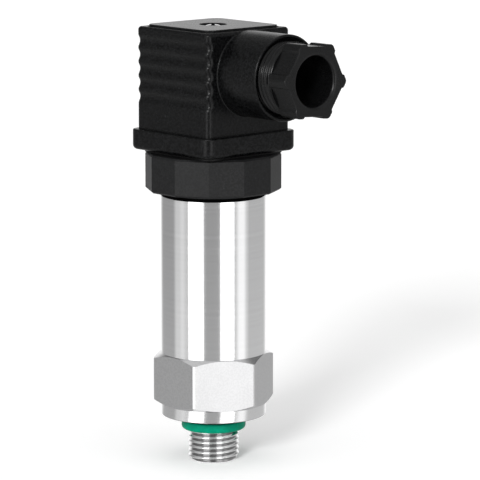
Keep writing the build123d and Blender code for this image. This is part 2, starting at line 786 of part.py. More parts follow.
# Gland washer between the grommet and the nut
with BuildPart() as gland_washer:
    with BuildSketch(gland_plane.offset(x_washer + washer_gap)):
        Circle(stub_bore_d / 2 - washer_room)
        Circle(washer_bore_d / 2, mode=Mode.SUBTRACT)
    extrude(amount=washer_thickness - washer_gap)
write(gland_washer, "gland_washer")

# Head of the gland nut: six lobes with recessed flats between them, chamfered at the back
nut_corner_r = nut_lobe_across / 2 / cos(pi / 6)
with BuildPart() as nut_head:
    with BuildSketch(gland_plane.offset(x_nut_head)) as nut_outline:
        RegularPolygon(radius=nut_corner_r, side_count=6, rotation=nut_turn)
        fillet(nut_outline.vertices(), nut_lobe_round)
        with PolarLocations(nut_web_across / 2, 6, start_angle=30 + nut_turn):
            Polygon(
                (0, -nut_web_width / 2),
                (0, nut_web_width / 2),
                (nut_web_flare, nut_web_width / 2 + nut_web_flare),
                (nut_web_flare, -nut_web_width / 2 - nut_web_flare),
                align=None,
                mode=Mode.SUBTRACT,
            )
    extrude(amount=nut_head_length)
    nut_face = nut_head.faces().sort_by(Axis.X)[-1]
    fillet(nut_face.edges(), nut_front_round)
    with BuildSketch(Plane.XZ):
        with BuildLine():
            z_axis = z_plug + stub_axis_height
            Polyline(
                (x_nut_head, z_axis),
                (x_nut_head, z_axis + nut_corner_r - nut_lobe_round),
                (x_nut_head + nut_back_chamfer, z_axis + nut_corner_r),
                (x_nut_end, z_axis + nut_corner_r),
                (x_nut_end, z_axis),
                close=True,
            )
        make_face()
    revolve(axis=gland_axis, mode=Mode.INTERSECT)

# Gland nut: hollow screw with that head
with BuildPart() as gland_nut:
    with BuildSketch(gland_plane.offset(x_nut_start)):
        Circle(gland_thread_d / 2)
    extrude(amount=gland_thread_length)
    chamfer(gland_nut.faces().sort_by(Axis.X)[0].edges(), gland_thread_chamfer)
    add(nut_head.part)
    with BuildSketch(gland_plane.offset(x_nut_start)):
        Circle(nut_bore_d / 2)
    extrude(amount=x_nut_end - x_nut_start, mode=Mode.SUBTRACT)
    fillet(ring_edge(gland_nut, Axis.X, x_nut_end, nut_bore_d / 2), nut_mouth_round)
write(gland_nut, "gland_nut")
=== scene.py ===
"""Pressure transmitter: real threads, finishes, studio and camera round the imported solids.

Metres, in the frame of the solids: the origin is the centre of the process thread's free end,
+Z runs up the body and +X runs out along the cable gland.
"""

import json
from math import ceil, cos, hypot, pi, radians, sin, tan

import bmesh
import bpy
from bpy.props import FloatProperty, FloatVectorProperty, IntProperty, PointerProperty
from mathutils import Matrix, Vector

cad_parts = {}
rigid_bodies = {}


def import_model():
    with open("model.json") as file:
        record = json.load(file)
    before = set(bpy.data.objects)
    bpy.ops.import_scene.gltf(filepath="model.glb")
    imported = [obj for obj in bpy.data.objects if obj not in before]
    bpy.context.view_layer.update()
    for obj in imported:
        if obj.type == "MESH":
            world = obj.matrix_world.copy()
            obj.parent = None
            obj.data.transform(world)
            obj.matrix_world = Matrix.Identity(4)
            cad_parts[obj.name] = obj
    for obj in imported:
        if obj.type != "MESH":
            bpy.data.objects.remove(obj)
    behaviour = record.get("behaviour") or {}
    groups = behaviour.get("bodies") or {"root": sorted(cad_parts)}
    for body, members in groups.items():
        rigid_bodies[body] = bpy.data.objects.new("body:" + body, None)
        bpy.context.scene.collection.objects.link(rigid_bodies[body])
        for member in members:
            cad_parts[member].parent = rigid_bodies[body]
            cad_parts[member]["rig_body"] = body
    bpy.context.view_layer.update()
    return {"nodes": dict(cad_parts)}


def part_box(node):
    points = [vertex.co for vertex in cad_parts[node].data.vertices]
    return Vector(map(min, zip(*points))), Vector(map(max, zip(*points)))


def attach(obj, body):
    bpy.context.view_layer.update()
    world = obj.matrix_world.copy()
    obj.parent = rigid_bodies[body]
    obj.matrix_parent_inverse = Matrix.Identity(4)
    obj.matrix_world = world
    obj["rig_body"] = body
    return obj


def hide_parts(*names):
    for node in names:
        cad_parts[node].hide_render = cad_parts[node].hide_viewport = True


bl_info = {
    "name": "Pressure Transmitter",
    "version": (1, 0, 0),
    "blender": (4, 5, 0),
    "location": "3D View > Sidebar > Transmitter",
    "description": "Threads, finishes and studio for a pressure transmitter with a square plug",
    "category": "Object",
}

MM = 0.001
WELD = 1e-6                  # vertices nearer than this are one
PROCESS_CREST = 6.5785 * MM  # outside radius of the process thread
PROCESS_BORE = 2.5 * MM      # radius of the pressure port
GLAND_CREST = 9.3 * MM       # outside radius of the gland nut's thread
GLAND_BORE = 6.3 * MM        # radius of the gland nut's bore
SCREW_CREST = 1.5 * MM       # outside radius of the fixing screw's thread
SCREW_STEPS = 36             # facets of the fixing screw's thread in one turn
COLLAR_INSET = 0.05 * MM     # the collar stands this far inside the outline of the tube
COLLAR_FACE = 12.04 * MM     # height of the collar's lower face
COLLAR_ROUND = 0.7 * MM      # rounding of the collar's lower edge in the solid
EDGE_BREAK = 0.2 * MM        # rounding of that edge in the scene
PAINTED_NECK_SHADE = 0.72 * MM        # part of the socket base's neck above the tube that is painted dead black, as painted shade under its ring
SHOULDER_SLOPE = 8.0         # rise over run of the process thread's end at its relief groove
HEXAGON_FROM = 10 * MM       # the hexagon's flats stand above this height
LEVEL = 0.01                 # a face whose normal rises less than this stands upright
FACES_DOWN = -0.7            # a face whose normal rises less than this is an underside
GLEAMING = "gleaming"        # the collection of pieces that mirror the key light

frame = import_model()
solids = frame["nodes"]


# Properties


def length(name, description, default):
    """A length that the user can change, given in millimetres."""
    return FloatProperty(
        name=name, description=description, default=default * MM, min=0.0, precision=5,
        unit="LENGTH",
    )


def colour(name, description, default):
    """A surface colour that the user can change."""
    return FloatVectorProperty(
        name=name, description=description, default=default, min=0.0, max=1.0, size=3,
        subtype="COLOR",
    )


def angle(name, description, default):
    """An angle that the user can change, given in degrees."""
    return FloatProperty(
        name=name, description=description, default=radians(default), subtype="ANGLE"
    )


def amount(name, description, default, high=1.0):
    """A plain number from 0 upwards that the user can change."""
    return FloatProperty(name=name, description=description, default=default, min=0.0, max=high)


class ThreadSizes(bpy.types.PropertyGroup):
    """Threads that the solids carry as plain cylinders."""

    process_pitch: length("Process pitch", "Pitch of the process thread", 1.337)
    process_depth: length("Process depth", "Depth of the process thread", 0.856)
    process_chamfer: length("Process chamfer", "Chamfer at the process thread's free end", 0.9)
    process_length: length("Process length", "Process thread up to its relief groove", 7.9)
    process_turn: angle("Process turn", "Turn of the process thread about its axis", 176)
    relief_radius: length("Relief radius", "Radius of the relief groove under the collar", 5.7)
    gland_pitch: length("Gland pitch", "Pitch of the gland nut's thread", 1.411)
    gland_depth: length("Gland depth", "Depth of the gland nut's thread", 0.62)
    gland_chamfer: length("Gland chamfer", "Chamfer at the inner end of the gland thread", 0.6)
    gland_length: length("Gland length", "Gland nut from its inner end to its head", 10.9)
    gland_runout: length("Gland runout", "Plain neck between the thread and the head", 0.7)
    screw_pitch: length("Screw pitch", "Pitch of the fixing screw", 0.5)
    screw_depth: length("Screw depth", "Thread depth of the fixing screw", 0.3)
    screw_length: length("Screw length", "Threaded end of the fixing screw", 12.0)
    screw_chamfer: length("Screw chamfer", "Chamfer at the tip of the fixing screw", 0.4)
    steps: IntProperty(
        name="Steps", description="Facets of a large thread in one turn", default=120,
        min=24, max=240,
    )


class Finishes(bpy.types.PropertyGroup):
    """Colours and gloss of the surfaces."""

    plug_black: colour("Plug black", "Moulded plug housing", (0.0028, 0.0029, 0.0031))
    base_black: colour("Base black", "Moulded socket base", (0.0068, 0.0069, 0.0073))
    gland_black: colour("Gland black", "Moulded gland nut", (0.0033, 0.0034, 0.0036))
    seal_green: colour("Seal green", "Ring seal under the collar", (0.0, 0.27, 0.155))
    rubber_black: colour("Rubber black", "Grommet, gasket and O-rings", (0.007, 0.007, 0.0073))
    tube_steel: colour("Tube steel", "Fine turned body tube", (0.78, 0.78, 0.785))
    turned_steel: colour("Turned steel", "Turned faces of the connection", (0.74, 0.74, 0.745))
    milled_steel: colour("Milled steel", "Flats of the hexagon", (0.575, 0.575, 0.58))
    # painted shade: a dark steel for the relief groove and the collar's underside, which lie in
    # shade
    relief_steel: colour("Relief steel", "Groove behind the ring seal", (0.30, 0.30, 0.305))
    thread_steel: colour("Thread steel", "Crests of the process thread", (0.91, 0.91, 0.915))
    zinc_steel: colour("Zinc steel", "Screws and washer", (0.82, 0.82, 0.83))
    brass: colour("Brass", "Contacts and threaded insert", (0.80, 0.60, 0.27))
    tin: colour("Tin", "Blades of the socket", (0.80, 0.78, 0.72))
    block_grey: colour("Block grey", "Terminal block", (0.075, 0.075, 0.08))
    plastic_roughness: amount("Plastic roughness", "Roughness of the plug housing", 0.28)
    tube_roughness: amount("Tube roughness", "Roughness of the body tube", 0.13)
    flat_roughness: amount("Flat roughness", "Roughness of the hexagon's milled flats", 0.38)
    thread_roughness: amount("Thread roughness", "Roughness of the process thread", 0.10)


class Studio(bpy.types.PropertyGroup):
    """Camera, floor and light."""

    azimuth: angle("Azimuth", "Direction of the camera", 48.13)
    tilt: angle("Tilt", "How far the camera looks down", 9.63)
    distance: length("Distance", "Camera from the axis of the body", 797.92)
    height: length("Height", "Camera above the foot of the thread", 193.01)
    aside: length("Aside", "Camera to the right of the axis", 6.88)
    focal: amount("Focal length", "Lens in millimetres on a 36 mm sensor", 234.95, 1000.0)
    floor_width: length("Floor width", "Side of the square floor", 6000.0)
    floor_white: amount("Floor white", "Reflectance of the floor", 0.82)
    ceiling: amount("Ceiling", "Brightness of the room overhead, on the camera's side", 0.8, 4.0)
    paper: amount("Paper", "Whiteness of the floor as the camera sees it", 1.19, 4.0)
    key_level: amount("Key level", "Brightness of a white card facing the key light", 0.62, 4.0)
    key_side: angle("Key side", "Key light to the left of the camera", 18.5)
    key_height: angle("Key height", "Key light above the floor", 21.5)
    key_spread: angle("Key spread", "How wide the key light looks", 16)
    gleam_level: amount("Gleam level", "Share of the key light that mouldings mirror", 0.9, 4.0)


def threads():
    return bpy.context.scene.transmitter_threads


def finishes():
    return bpy.context.scene.transmitter_finishes


def studio():
    return bpy.context.scene.transmitter_studio


# Shader nodes


class Socket:
    """An output socket that takes part in Python arithmetic through Math nodes."""

    def __init__(self, shader, link):
        self.shader = shader
        self.link = link

    def math(self, operation, first, second=0.0, third=0.0):
        settings = {"operation": operation}
        values = {0: first, 1: second, 2: third}
        return self.shader.node("ShaderNodeMath", settings, values)["Value"]

    def __add__(self, other):
        return self.math("ADD", self, other)

    def __radd__(self, other):
        return self.math("ADD", other, self)

    def __sub__(self, other):
        return self.math("SUBTRACT", self, other)

    def __rsub__(self, other):
        return self.math("SUBTRACT", other, self)

    def __mul__(self, other):
        return self.math("MULTIPLY", self, other)

    def __rmul__(self, other):
        return self.math("MULTIPLY", other, self)

    def __truediv__(self, other):
        return self.math("DIVIDE", self, other)

    def __pow__(self, other):
        return self.math("POWER", self, other)

    def __abs__(self):
        return self.math("ABSOLUTE", self)

    def between(self, low, high, soft):
        """1 between low and high, falling smoothly to 0 over soft at each end."""
        return self.rises(low - soft, low) * (1 - self.rises(high, high + soft))

    def rises(self, low, high):
        """Goes smoothly from 0 at low to 1 at high."""
        settings = {"interpolation_type": "SMOOTHSTEP"}
        values = {"Value": self, "From Min": low, "From Max": high}
        return self.shader.node("ShaderNodeMapRange", settings, values)["Result"]


class Node:
    """A node whose outputs are read by name as Sockets."""

    def __init__(self, shader, node):
        self.shader = shader
        self.node = node

    def __getitem__(self, name):
        return Socket(self.shader, self.node.outputs[name])


class Shader:
    """The node tree of one material or of the world."""

    def __init__(self, owner):
        owner.use_nodes = True
        self.owner = owner
        self.tree = owner.node_tree
        self.tree.nodes.clear()

    def node(self, kind, settings=None, values=None):
        """Adds one node, sets its settings, then fills or links its inputs."""
        node = self.tree.nodes.new(kind)
        for name, value in (settings or {}).items():
            setattr(node, name, value)
        for name, value in (values or {}).items():
            if isinstance(value, Socket):
                self.tree.links.new(value.link, node.inputs[name])
            else:
                node.inputs[name].default_value = value
        return Node(self, node)

    def place(self):
        """The three Object coordinates, and the point itself."""
        point = self.node("ShaderNodeTexCoord")["Object"]
        parts = self.node("ShaderNodeSeparateXYZ", None, {0: point})
        return point, parts["X"], parts["Y"], parts["Z"]

    def noise(self, point, size, detail=2.0, roughness=0.5):
        """Noise from 0 to 1 with lumps of about that size in metres."""
        values = {"Vector": point, "Scale": 1 / size, "Detail": detail, "Roughness": roughness}
        return self.node("ShaderNodeTexNoise", None, values)["Fac"]

    def rings(self, place, size, detail=2.0):
        """Noise along one number only, for tool marks of about that width."""
        settings = {"noise_dimensions": "1D"}
        values = {"W": place, "Scale": 1 / size, "Detail": detail}
        return self.node("ShaderNodeTexNoise", settings, values)["Fac"]

    def mix(self, factor, first, second):
        """A colour between two colours."""
        settings = {"data_type": "RGBA"}
        node = self.node("ShaderNodeMix", settings, {0: factor})
        for index, value in ((6, first), (7, second)):
            if isinstance(value, Socket):
                self.tree.links.new(value.link, node.node.inputs[index])
            else:
                node.node.inputs[index].default_value = (*value, 1.0)
        return Socket(self, node.node.outputs[2])

    def bump(self, height, depth, strength=1.0):
        """A normal for a height from 0 to 1 that stands for that depth in metres."""
        values = {"Height": height, "Distance": depth, "Strength": strength}
        return self.node("ShaderNodeBump", None, values)["Normal"]

    def principled(self, values):
        """A Principled shader with these inputs."""
        return self.node("ShaderNodeBsdfPrincipled", None, values)["BSDF"]

    def blend(self, factor, first, second):
        """A shader between two shaders."""
        return self.node("ShaderNodeMixShader", None, {0: factor, 1: first, 2: second})["Shader"]

    def end(self, surface):
        """Ends the tree of a material in this shader."""
        self.node("ShaderNodeOutputMaterial", None, {"Surface": surface})
        return self.owner

    def surface(self, values):
        """Ends the tree in a Principled shader with these inputs."""
        return self.end(self.principled(values))


def new_shader(name):
    return Shader(bpy.data.materials.new(name))


def scaled(values, factor):
    """A colour made lighter or darker."""
    return tuple(min(1.0, value * factor) for value in values)


# Finishes


def moulded_plastic(
    name, base, roughness, gloss, grain=0.2, contrast=1.0, depth=0.03, painted_shade_below=None
):
    """Moulded plastic with a spark-eroded grain of this size and depth in millimetres.

    Below the height given as its last argument, in metres, it is dead black, a painted shade for
    the deep shadow under the socket base's ring.
    """
    shader = new_shader(name)
    point, _, _, z = shader.place()
    grain = grain * MM
    fine = shader.noise(point, grain, 2.0, 0.6)
    coarse = shader.noise(point, grain * 2.6, 2.0, 0.6)
    broad = shader.noise(point, 9 * MM, 3.0)
    height = 0.4 * fine + 0.6 * coarse
    dark, light = scaled(base, 1 - 0.8 * contrast), scaled(base, 1 + 1.4 * contrast)
    speckle = shader.mix(coarse.rises(0.42, 0.6), dark, light)
    shade = shader.mix(broad.rises(0.3, 0.7) * 0.25, speckle, base)
    sparks = shader.noise(point, grain * 2.2, 1.0).rises(0.7, 0.78)
    tone = shader.mix(sparks, shade, scaled(base, 1 + 7 * contrast))
    values = {
        "Base Color": tone,
        "Roughness": roughness + 0.10 * (fine - 0.5) + 0.05 * (broad - 0.5),
        "Specular IOR Level": gloss,
        "Normal": shader.bump(height, depth * MM, 0.8),
    }
    if painted_shade_below is None:
        return shader.surface(values)
    # Painted shade: below the given height the plastic turns dead black, rough and nearly
    # unreflecting, fading in over 0.04 mm
    painted_shade = {
        "Base Color": (0.001, 0.001, 0.001, 1.0),
        "Roughness": 0.9,
        "Specular IOR Level": 0.02,
    }
    glossy = z.rises(painted_shade_below - 0.04 * MM, painted_shade_below)
    return shader.end(shader.blend(glossy, shader.principled(painted_shade), shader.principled(values)))


def rubber(name, base, roughness, gloss=0.2):
    """Smooth moulded rubber, slightly mottled."""
    shader = new_shader(name)
    point, *_ = shader.place()
    mottle = shader.noise(point, 1.3 * MM, 4.0, 0.6)
    return shader.surface({
        "Base Color": shader.mix(mottle.rises(0.3, 0.7), scaled(base, 0.86), scaled(base, 1.12)),
        "Roughness": roughness + 0.12 * (mottle - 0.5),
        "Specular IOR Level": gloss,
        "Normal": shader.bump(shader.noise(point, 0.35 * MM, 2.0), 0.008 * MM, 0.7),
    })


def turned_metal(name, base, roughness, mark, along="body"):
    """Metal with the fine rings that a lathe leaves, of the given width in millimetres.

    They run round the body on faces of any slope, or else round the axis of the gland.
    """
    shader = new_shader(name)
    point, x, y, z = shader.place()
    mark = mark * MM
    if along == "body":
        out = (x * x + y * y) ** 0.5
        place = z + 0.83 * out
    else:
        place = x
    fine = shader.rings(place, mark, 3.0)
    coarse = shader.rings(place, mark * 9, 2.0)
    haze = shader.noise(point, 6 * MM, 3.0, 0.55)
    marks = (0.6 * fine + 0.4 * coarse).rises(0.25, 0.75)
    return shader.surface({
        "Base Color": shader.mix(marks, scaled(base, 0.955), scaled(base, 1.02)),
        "Metallic": 1.0,
        "Roughness": roughness + 0.07 * (fine - 0.5) + 0.05 * (coarse - 0.5) + 0.05 * (haze - 0.5),
        "Normal": shader.bump(0.7 * fine + 0.3 * coarse, 0.0009 * MM, 0.9),
    })


def threaded_metal(name, base, roughness, root, crest):
    """Cut thread, its own bright steel on its crests and darkened as painted shade in its roots,
    between two radii in metres.
    """
    shader = new_shader(name)
    point, x, y, _ = shader.place()
    out = (x * x + y * y) ** 0.5
    # painted shade: the steel darkens from the crest radius down to the root radius
    bright = out.rises(root, crest)
    mottle = shader.noise(point, 0.5 * MM, 3.0, 0.6)
    painted_shade = shader.mix(mottle, scaled(base, 0.3), scaled(base, 0.38))
    return shader.surface({
        "Base Color": shader.mix(bright, painted_shade, base),
        "Metallic": 1.0,
        "Roughness": roughness + 0.08 * (1 - bright) + 0.06 * (mottle - 0.5),
        "Normal": shader.bump(mottle, 0.001 * MM, 0.6),
    })


def milled_metal(name, base, roughness):
    """Metal flats with a close satin grain and a few faint long marks."""
    shader = new_shader(name)
    point, *_ = shader.place()
    settings = {"vector_type": "TEXTURE"}
    values = {"Vector": point, "Scale": (5.0, 5.0, 1.0)}
    drawn = shader.node("ShaderNodeMapping", settings, values)["Vector"]
    grain = shader.noise(drawn, 0.05 * MM, 2.0, 0.6)
    mottle = shader.noise(point, 0.45 * MM, 2.0, 0.5)
    haze = shader.noise(point, 7 * MM, 3.0, 0.5)
    satin = (0.2 * grain + 0.8 * mottle).rises(0.4, 0.6)
    return shader.surface({
        "Base Color": shader.mix(satin, scaled(base, 0.94), scaled(base, 1.035)),
        "Metallic": 1.0,
        "Roughness": roughness + 0.12 * (mottle - 0.5) + 0.08 * (haze - 0.5),
        "Normal": shader.bump(0.4 * grain + 0.6 * mottle, 0.0015 * MM, 0.8),
    })


def plain_metal(name, base, roughness):
    """Stamped or plated metal with a soft mottle."""
    shader = new_shader(name)
    point, *_ = shader.place()
    mottle = shader.noise(point, 0.6 * MM, 4.0, 0.6)
    return shader.surface({
        "Base Color": shader.mix(mottle.rises(0.3, 0.7), scaled(base, 0.92), scaled(base, 1.04)),
        "Metallic": 1.0,
        "Roughness": roughness + 0.14 * (mottle - 0.5),
        "Normal": shader.bump(mottle, 0.002 * MM, 0.6),
    })


def coated(name, base, roughness, size=0.8):
    """A painted, insulated or moulded coloured surface inside the device."""
    shader = new_shader(name)
    point, *_ = shader.place()
    mottle = shader.noise(point, size * MM, 3.0)
    return shader.surface({
        "Base Color": shader.mix(mottle.rises(0.3, 0.7), scaled(base, 0.85), scaled(base, 1.12)),
        "Roughness": roughness + 0.1 * (mottle - 0.5),
        "Normal": shader.bump(mottle, 0.006 * MM, 0.5),
    })


def board_finish(name):
    """Green solder mask with raised tracks on a 2.54 mm grid."""
    shader = new_shader(name)
    _, x, _, z = shader.place()
    steps = x / (1.27 * MM)
    across = abs(steps.math("WRAP", steps, 0.5, -0.5))
    along = shader.rings(z, 4 * MM)
    track = (1 - across.rises(0.12, 0.2)) * along.rises(0.42, 0.5)
    return shader.surface({
        "Base Color": shader.mix(track, (0.006, 0.11, 0.045), (0.02, 0.24, 0.10)),
        "Roughness": 0.32 - 0.08 * track,
        "Normal": shader.bump(track, 0.02 * MM, 0.6),
    })


def catch_gleam(pieces):
    """Lets pieces mirror the key light."""
    for piece in pieces:
        bpy.data.collections[GLEAMING].objects.link(piece)


def dress(names, material):
    """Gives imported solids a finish."""
    for name in names:
        for slot in solids[name].material_slots:
            slot.material = material


# Meshes


def merged_solid(name):
    """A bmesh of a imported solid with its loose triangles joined."""
    bm = bmesh.new()
    bm.from_mesh(solids[name].data)
    bmesh.ops.remove_doubles(bm, verts=bm.verts, dist=WELD)
    return bm


def cut(bm, point, normal):
    """Removes what lies behind a plane, seen along its normal, and leaves the cut open."""
    geometry = bm.verts[:] + bm.edges[:] + bm.faces[:]
    bmesh.ops.bisect_plane(
        bm, geom=geometry, dist=WELD / 10, plane_co=point, plane_no=normal, clear_inner=True
    )


def rims(bm, axis, place, middle, low=0.0, high=1.0):
    """The open edges at a place along an axis, whose distance from middle is from low to high."""
    found = []
    for edge in bm.edges:
        if edge.is_boundary and all(abs(vert.co[axis] - place) < 5 * WELD for vert in edge.verts):
            offset = edge.verts[0].co - middle
            offset[axis] = 0.0
            if low < offset.length < high:
                found.append(edge)
    return found


def thread_points(pitch, depth, half_angle, arc_points):
    """(height, inset) of one pitch from root to root, with crest and root rounded alike."""
    sharp = pitch / 2 / tan(half_angle)
    radius = (sharp - depth) / 2 / (1 / sin(half_angle) - 1)
    swing = pi / 2 - half_angle
    points = []
    for middle, side in ((0.0, 1), (pitch / 2, -1)):
        for index in range(arc_points):
            angle = swing * (2 * index / (arc_points - 1) - 1)
            fall = radius * (1 - cos(angle))
            inset = depth - fall if side > 0 else fall
            points.append((middle + radius * sin(angle), inset))
    return points


def threaded_tube(
    crest_radius, pitch, depth, half_angle, top, steps, limit, turned=0.0, arc_points=7
):
    """A thread round Z from 0 to top, open at both ends; limit(z) is the largest radius there."""
    bm = bmesh.new()
    points = thread_points(pitch, depth, half_angle, arc_points)
    last = None
    for turn in range(-2, ceil(top / pitch) + 1):
        for height, inset in points:
            vert = bm.verts.new((crest_radius - inset, 0.0, turn * pitch + height))
            if last:
                bm.edges.new((last, vert))
            last = vert
    bmesh.ops.spin(
        bm, geom=bm.verts[:] + bm.edges[:], cent=(0, 0, 0), axis=(0, 0, 1),
        dvec=(0, 0, pitch / steps), angle=2 * pi, steps=steps, use_merge=False,
        use_duplicate=False,
    )
    bmesh.ops.remove_doubles(bm, verts=bm.verts, dist=pitch / 400)
    bmesh.ops.rotate(bm, cent=(0, 0, 0), matrix=Matrix.Rotation(turned, 3, "Z"), verts=bm.verts)
    cut(bm, (0, 0, 0), (0, 0, 1))
    cut(bm, (0, 0, top), (0, 0, -1))
    for vert in bm.verts:
        radius = hypot(vert.co.x, vert.co.y)
        allowed = limit(vert.co.z)
        if radius > allowed:
            vert.co.x *= allowed / radius
            vert.co.y *= allowed / radius
    return bm


def close_end(bm, bore, depth):
    """Closes a tube's end at z 0 with a ring face and a bore of that depth, or with a disc."""
    edges = rims(bm, 2, 0.0, Vector())
    outer = hypot(*edges[0].verts[0].co.xy)
    made = bmesh.ops.extrude_edge_only(bm, edges=edges)["geom"]
    inner = [item for item in made if isinstance(item, bmesh.types.BMVert)]
    if bore == 0.0:
        bmesh.ops.pointmerge(bm, verts=inner, merge_co=(0, 0, 0))
        return
    bmesh.ops.scale(bm, vec=(bore / outer, bore / outer, 1), verts=inner)
    edges = [item for item in made if isinstance(item, bmesh.types.BMEdge) and item.is_boundary]
    made = bmesh.ops.extrude_edge_only(bm, edges=edges)["geom"]
    wall = [item for item in made if isinstance(item, bmesh.types.BMVert)]
    bmesh.ops.translate(bm, vec=(0, 0, depth), verts=wall)


def append(bm, other, matrix=None):
    """Moves another bmesh into place and adds it."""
    if matrix is not None:
        bmesh.ops.transform(other, matrix=matrix, verts=other.verts)
    mesh = bpy.data.meshes.new("part")
    other.to_mesh(mesh)
    other.free()
    bm.from_mesh(mesh)
    bpy.data.meshes.remove(mesh)


def tighten_edge(bm, radius, height, old_round, new_round):
    """Gives the lower outer edge of a round collar a smaller rounding, in place of its old one."""
    middle_radius, middle_height = radius - old_round, height + old_round
    for vert in bm.verts:
        out = hypot(vert.co.x, vert.co.y)
        along, down = out - middle_radius, middle_height - vert.co.z
        if abs(hypot(along, down) - old_round) < 10 * WELD and along > -WELD and down > -WELD:
            wider = radius - new_round + along * new_round / old_round
            vert.co.x *= wider / out
            vert.co.y *= wider / out
            vert.co.z = height + new_round - down * new_round / old_round


def bridge(bm, first, second):
    """Joins two open rims with a band of faces."""
    if not first or not second:
        raise RuntimeError("a rim to bridge was not found")
    bmesh.ops.bridge_loops(bm, edges=first + second)


def bridge_walls(bm, axis, middle, seam, neck, split):
    """Joins the outer and the inner rim at a seam to those at a neck, told apart by a radius."""
    for near, far in ((0.0, split), (split, 1.0)):
        first, second = (rims(bm, axis, place, middle, near, far) for place in (seam, neck))
        bridge(bm, first, second)


def add_piece(bm, name, solid, materials, sharp=radians(28)):
    """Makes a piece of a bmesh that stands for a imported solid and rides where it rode."""
    bmesh.ops.recalc_face_normals(bm, faces=bm.faces)
    open_edges = sum(edge.is_boundary for edge in bm.edges)
    if open_edges:
        raise RuntimeError(f"{name} has {open_edges} open edges")
    for face in bm.faces:
        face.smooth = True
    for edge in bm.edges:
        edge.smooth = edge.calc_face_angle(pi) < sharp
    mesh = bpy.data.meshes.new(name)
    bm.to_mesh(mesh)
    bm.free()
    for material in materials:
        mesh.materials.append(material)
    piece = bpy.data.objects.new(name, mesh)
    bpy.context.scene.collection.objects.link(piece)
    shading = piece.modifiers.new("even_shading", "WEIGHTED_NORMAL")
    shading.keep_sharp = True
    shading.weight = 100
    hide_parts(solid)
    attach(piece, solids[solid]["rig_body"])
    return piece


# Pieces


class MakeProcessConnection(bpy.types.Operator):
    """Turned connection with its pipe thread cut, and milled flats on its hexagon"""

    bl_idname = "transmitter.process_connection"
    bl_label = "Process connection"

    def execute(self, context):
        sizes = threads()
        low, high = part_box("process_connection")
        neck = sizes.process_length + 0.4 * MM
        seam = neck + 0.1 * MM

        def limit(z):
            tip = PROCESS_CREST - sizes.process_chamfer + z
            shoulder = PROCESS_CREST - (z - sizes.process_length) * SHOULDER_SLOPE
            return min(PROCESS_CREST, tip, max(shoulder, sizes.relief_radius))

        thread = threaded_tube(
            PROCESS_CREST, sizes.process_pitch, sizes.process_depth, radians(27.5), neck,
            sizes.steps, limit, sizes.process_turn,
        )
        close_end(thread, PROCESS_BORE, neck)
        bm = merged_solid("process_connection")
        cut(bm, (0, 0, seam), (0, 0, 1))
        append(bm, thread)
        bridge_walls(bm, 2, Vector(), seam, neck, 4 * MM)
        bm.normal_update()
        collar_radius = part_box("body_tube")[1].x - COLLAR_INSET
        tighten_edge(bm, collar_radius, COLLAR_FACE, COLLAR_ROUND, EDGE_BREAK)
        half_width = (high.y - low.y) / 2
        for face in bm.faces:
            face.material_index = self.steel_of(face, half_width, sizes.process_length)
        colours = finishes()
        steels = [
            turned_metal("turned_steel_fine", colours.turned_steel, 0.16, 0.09),
            milled_metal("milled_steel", colours.milled_steel, colours.flat_roughness),
            threaded_metal(
                "thread_steel", colours.thread_steel, colours.thread_roughness,
                PROCESS_CREST - sizes.process_depth, PROCESS_CREST - 0.25 * sizes.process_depth,
            ),
            # the relief steel is painted shade under the collar
            turned_metal("relief_steel", colours.relief_steel, 0.35, 0.12),
        ]
        add_piece(bm, "threaded_connection", "process_connection", steels)
        return {"FINISHED"}

    def steel_of(self, face, half_width, thread_end):
        """Which of the four steels a face has: 0 turned, 1 milled, 2 thread or 3 relief, a dark
        steel painted as shade on the groove and the collar's underside.
        """
        middle = face.calc_center_median()
        if middle.z < thread_end:
            return 2
        # the collar's underside and the band below its face get the dark relief steel as painted
        # shade
        underside = middle.z < COLLAR_FACE + 0.5 * MM and face.normal.z < FACES_DOWN
        if middle.z < COLLAR_FACE - 0.1 * MM or underside:
            return 3
        upright = abs(face.normal.z) < LEVEL and middle.z > HEXAGON_FROM
        return int(upright and abs(face.normal.dot(middle) - half_width) < 0.01 * MM)


class MakeGlandNut(bpy.types.Operator):
    """Gland nut with its thread cut"""

    bl_idname = "transmitter.gland_nut"
    bl_label = "Gland nut"

    def execute(self, context):
        sizes = threads()
        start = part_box("gland_nut")[0].x
        low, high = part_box("gland_grommet")
        middle = Vector((0, 0, (low.z + high.z) / 2))
        root = GLAND_CREST - sizes.gland_depth
        neck = sizes.gland_length - 0.25 * MM
        seam = neck + 0.15 * MM
        runout = sizes.gland_length - sizes.gland_runout - sizes.gland_depth

        def limit(z):
            tip = GLAND_CREST - sizes.gland_chamfer + z
            shoulder = GLAND_CREST - (z - runout)
            return min(GLAND_CREST, tip, max(shoulder, root))

        thread = threaded_tube(
            GLAND_CREST, sizes.gland_pitch, sizes.gland_depth, radians(30), neck,
            sizes.steps, limit,
        )
        close_end(thread, GLAND_BORE, neck)
        bm = merged_solid("gland_nut")
        cut(bm, (start + seam, 0, 0), (1, 0, 0))
        turn = Matrix.Translation((start, 0, middle.z)) @ Matrix.Rotation(pi / 2, 4, "Y")
        append(bm, thread, turn)
        bridge_walls(bm, 0, middle, start + seam, start + neck, 7.5 * MM)
        plastic = moulded_plastic(
            "gland_plastic", finishes().gland_black, 0.28, 0.23, contrast=0.35, depth=0.008
        )
        piece = add_piece(bm, "threaded_gland_nut", "gland_nut", [plastic])
        catch_gleam([piece])
        return {"FINISHED"}


